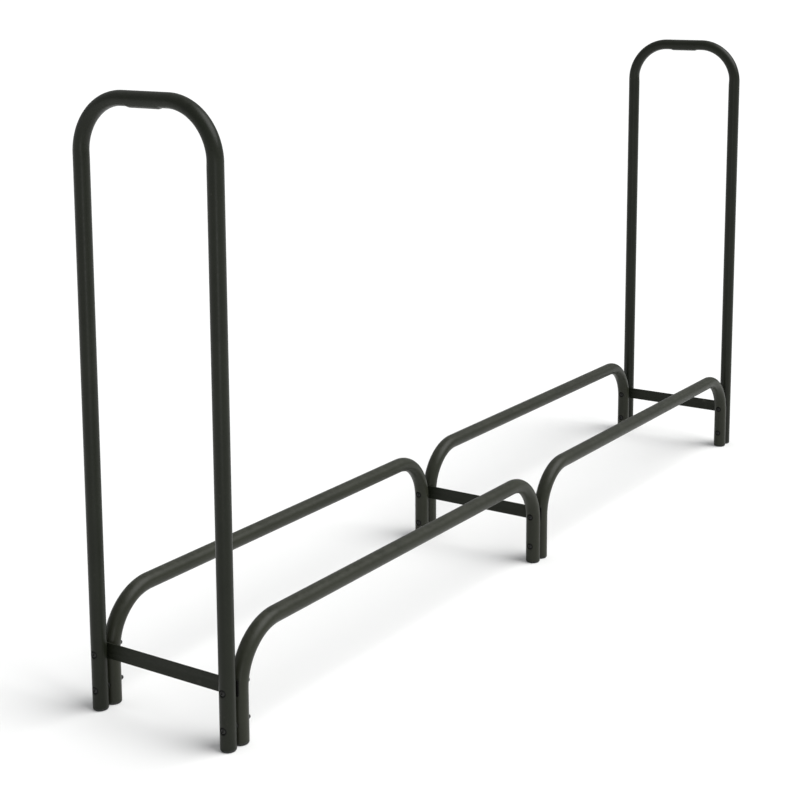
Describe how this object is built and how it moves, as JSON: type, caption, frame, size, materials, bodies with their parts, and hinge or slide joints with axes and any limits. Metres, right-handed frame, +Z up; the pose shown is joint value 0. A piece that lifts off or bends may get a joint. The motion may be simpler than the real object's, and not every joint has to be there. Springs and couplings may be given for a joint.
{
  "type": "firewood log rack",
  "caption": "Long free-standing firewood rack of bent black steel tube: tall upside-down U end frames, low base rails on their own legs and flat crossbars, bolted leg to leg.",
  "frame": {"origin": "on the floor, midway between the two middle pairs of legs and between the front and the back", "axes": "+X along the rack towards its right end, +Y from its front to its back, +Z up"},
  "size_m": [2.4266, 0.356, 1.219],
  "materials": {
    "frame_coat": "satin charcoal-black powder coat with a very fine orange-peel texture",
    "rail_coat": "satin charcoal-black powder coat with a very fine orange-peel texture",
    "strap_coat": "satin black powder coat on flat bar",
    "fastener": "black zinc, slightly worn on the edges",
    "spacer": "black zinc",
    "plug": "black moulded polyethylene with a faint pebble texture"
  },
  "bodies": {
    "root": {"end_frame_left": "frame_coat", "end_frame_right": "frame_coat", "rail_front_left": "rail_coat", "rail_back_left": "rail_coat", "rail_front_right": "rail_coat", "rail_back_right": "rail_coat", "crossbar_left": "strap_coat", "crossbar_middle": "strap_coat", "crossbar_right": "strap_coat", "bolt_left_front_upper": "fastener", "bolt_left_front_lower": "fastener", "bolt_left_back_upper": "fastener", "bolt_left_back_lower": "fastener", "bolt_middle_front_upper": "fastener", "bolt_middle_front_lower": "fastener", "bolt_middle_back_upper": "fastener", "bolt_middle_back_lower": "fastener", "bolt_right_front_upper": "fastener", "bolt_right_front_lower": "fastener", "bolt_right_back_upper": "fastener", "bolt_right_back_lower": "fastener", "nut_left_front_upper": "fastener", "nut_left_front_lower": "fastener", "nut_left_back_upper": "fastener", "nut_left_back_lower": "fastener", "nut_middle_front_upper": "fastener", "nut_middle_front_lower": "fastener", "nut_middle_back_upper": "fastener", "nut_middle_back_lower": "fastener", "nut_right_front_upper": "fastener", "nut_right_front_lower": "fastener", "nut_right_back_upper": "fastener", "nut_right_back_lower": "fastener", "washers_left": "fastener", "washers_middle": "fastener", "washers_right": "fastener", "spacer_left_front": "spacer", "spacer_left_back": "spacer", "spacer_middle_front": "spacer", "spacer_middle_back": "spacer", "spacer_right_front": "spacer", "spacer_right_back": "spacer", "foot_frame_front_left": "plug", "foot_rail_front_left_outer": "plug", "foot_rail_front_left_middle": "plug", "foot_frame_front_right": "plug", "foot_rail_front_right_outer": "plug", "foot_rail_front_right_middle": "plug", "foot_frame_back_left": "plug", "foot_rail_back_left_outer": "plug", "foot_rail_back_left_middle": "plug", "foot_frame_back_right": "plug", "foot_rail_back_right_outer": "plug", "foot_rail_back_right_middle": "plug"}
  },
  "joints": []
}
